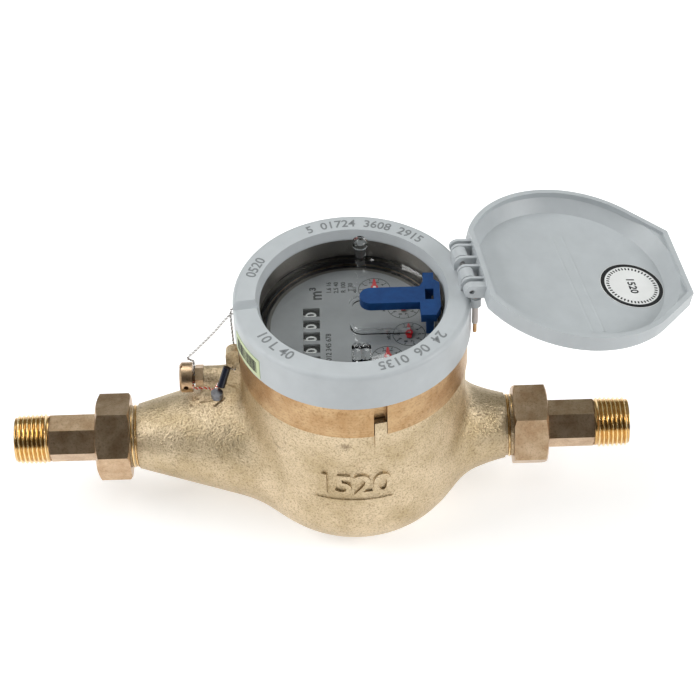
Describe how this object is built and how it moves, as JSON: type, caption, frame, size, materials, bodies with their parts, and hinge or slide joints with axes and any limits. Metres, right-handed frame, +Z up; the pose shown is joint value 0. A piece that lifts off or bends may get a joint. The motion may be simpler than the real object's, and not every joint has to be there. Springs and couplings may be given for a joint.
{
  "type": "water meter",
  "caption": "Brass multi-jet water meter with a lens-covered register of number rollers and pointers, a hinged lid, a sealed adjuster and screwed pipe connectors",
  "frame": {"origin": "middle of the flat base, under the dial axis", "axes": "+X along the water flow from inlet to outlet, +Y to the back, +Z up"},
  "size_m": [0.2752, 0.1059, 0.1156],
  "materials": {
    "cast_brass": "sand cast and blasted",
    "ring_brass": "turned",
    "machined_brass": "machined, dulled",
    "grey_plastic": "satin",
    "steel": "drawn",
    "label_paper": "printed",
    "clear_lens": "polished",
    "black_rubber": "matte",
    "white_plastic": "moulded",
    "dial_face": "printed",
    "dark_plastic": "moulded",
    "strainer_plastic": "moulded",
    "copper": "drawn copper",
    "sleeve_plastic": "shiny",
    "lead_metal": "pressed lead",
    "blue_plastic": "moulded",
    "lead_plastic": "extruded",
    "red_plastic": "moulded"
  },
  "bodies": {
    "meter": {"meter_body": "cast_brass", "head_ring": "ring_brass", "cover_ring": "grey_plastic", "hinge_pin": "steel", "side_label": "label_paper", "lens": "clear_lens", "lens_gasket": "black_rubber", "slip_ring": "white_plastic", "dial_plate": "dial_face", "register_cup": "dark_plastic", "roller_frame": "dark_plastic", "roller_shaft": "steel", "pivot_pin": "steel", "measuring_chamber": "white_plastic", "chamber_cover": "white_plastic", "strainer": "strainer_plastic", "inlet_tailpiece": "machined_brass", "outlet_tailpiece": "machined_brass", "inlet_gasket": "black_rubber", "outlet_gasket": "black_rubber", "adjusting_screw": "machined_brass", "lock_nut": "machined_brass", "seal_wire": "steel", "tie_wire": "steel", "copper_wire": "copper", "seal_sleeve": "sleeve_plastic", "lead_seal": "lead_metal", "sensor_plug": "blue_plastic", "lead_sleeve": "lead_plastic", "lead_core": "ring_brass"},
    "lid": {"lid": "grey_plastic", "lid_sticker": "label_paper"},
    "inlet_nut": {"inlet_nut": "machined_brass"},
    "outlet_nut": {"outlet_nut": "machined_brass"},
    "impeller": {"impeller": "white_plastic"},
    "idler_1": {"idler_1": "white_plastic"},
    "hand_1": {"arbor_1": "white_plastic", "pointer_1": "red_plastic"},
    "idler_2": {"idler_2": "white_plastic"},
    "hand_2": {"arbor_2": "white_plastic", "pointer_2": "red_plastic"},
    "idler_3": {"idler_3": "white_plastic"},
    "hand_3": {"arbor_3": "white_plastic", "pointer_3": "red_plastic"},
    "idler_4": {"idler_4": "white_plastic"},
    "hand_4": {"arbor_4": "white_plastic", "pointer_4": "red_plastic"},
    "roller_1": {"number_roller_1": "white_plastic"},
    "roller_2": {"number_roller_2": "white_plastic"},
    "roller_3": {"number_roller_3": "white_plastic"},
    "roller_4": {"number_roller_4": "white_plastic"},
    "roller_5": {"number_roller_5": "white_plastic"}
  },
  "joints": [
    {"name": "lid_swing", "type": "hinge", "parent": "meter", "child": "lid", "pos_m": [0.04438, 0.00743, 0.1125], "axis": [0.165, -0.9863, 0], "range_deg": [0, 191]},
    {"name": "inlet_nut_turn", "type": "hinge", "parent": "meter", "child": "inlet_nut", "pos_m": [-0.0995, 0, 0.031], "axis": [-1, 0, 0], "continuous": true},
    {"name": "outlet_nut_turn", "type": "hinge", "parent": "meter", "child": "outlet_nut", "pos_m": [0.0719, 0, 0.031], "axis": [1, 0, 0], "continuous": true},
    {"name": "impeller_spin", "type": "hinge", "parent": "meter", "child": "impeller", "pos_m": [0, 0, 0.03], "axis": [0, 0, 1], "continuous": true},
    {"name": "idler_1_spin", "type": "hinge", "parent": "meter", "child": "idler_1", "pos_m": [0.002, -0.01264, 0.07], "axis": [0, 0, 1], "continuous": true},
    {"name": "hand_1_spin", "type": "hinge", "parent": "meter", "child": "hand_1", "pos_m": [0.0134, -0.01845, 0.08], "axis": [0, 0, 1], "continuous": true},
    {"name": "idler_2_spin", "type": "hinge", "parent": "meter", "child": "idler_2", "pos_m": [0.01327, -0.00895, 0.07], "axis": [0, 0, 1], "continuous": true},
    {"name": "hand_2_spin", "type": "hinge", "parent": "meter", "child": "hand_2", "pos_m": [0.02212, -0.00552, 0.08], "axis": [0, 0, 1], "continuous": true},
    {"name": "idler_3_spin", "type": "hinge", "parent": "meter", "child": "idler_3", "pos_m": [0.01591, 0.00167, 0.07], "axis": [0, 0, 1], "continuous": true},
    {"name": "hand_3_spin", "type": "hinge", "parent": "meter", "child": "hand_3", "pos_m": [0.02049, 0.01, 0.08], "axis": [0, 0, 1], "continuous": true},
    {"name": "idler_4_spin", "type": "hinge", "parent": "meter", "child": "idler_4", "pos_m": [0.01111, 0.01151, 0.07], "axis": [0, 0, 1], "continuous": true},
    {"name": "hand_4_spin", "type": "hinge", "parent": "meter", "child": "hand_4", "pos_m": [0.00927, 0.02083, 0.08], "axis": [0, 0, 1], "continuous": true},
    {"name": "roller_1_turn", "type": "hinge", "parent": "meter", "child": "roller_1", "pos_m": [-0.0163, 0.0084, 0.0806], "axis": [0, 1, 0], "continuous": true},
    {"name": "roller_2_turn", "type": "hinge", "parent": "meter", "child": "roller_2", "pos_m": [-0.0163, 0.0016, 0.0806], "axis": [0, 1, 0], "continuous": true},
    {"name": "roller_3_turn", "type": "hinge", "parent": "meter", "child": "roller_3", "pos_m": [-0.0163, -0.0052, 0.0806], "axis": [0, 1, 0], "continuous": true},
    {"name": "roller_4_turn", "type": "hinge", "parent": "meter", "child": "roller_4", "pos_m": [-0.0163, -0.012, 0.0806], "axis": [0, 1, 0], "continuous": true},
    {"name": "roller_5_turn", "type": "hinge", "parent": "meter", "child": "roller_5", "pos_m": [-0.0163, -0.0188, 0.0806], "axis": [0, 1, 0], "continuous": true}
  ],
  "couplings": [
    {"joint": "idler_1_spin", "follows": "impeller_spin", "ratio": -0.25},
    {"joint": "hand_1_spin", "follows": "impeller_spin", "ratio": 0.15},
    {"joint": "idler_2_spin", "follows": "impeller_spin", "ratio": -0.0375},
    {"joint": "hand_2_spin", "follows": "impeller_spin", "ratio": 0.015},
    {"joint": "idler_3_spin", "follows": "impeller_spin", "ratio": -0.00375},
    {"joint": "hand_3_spin", "follows": "impeller_spin", "ratio": 0.0015},
    {"joint": "idler_4_spin", "follows": "impeller_spin", "ratio": -0.000375},
    {"joint": "hand_4_spin", "follows": "impeller_spin", "ratio": 0.00015}
  ]
}
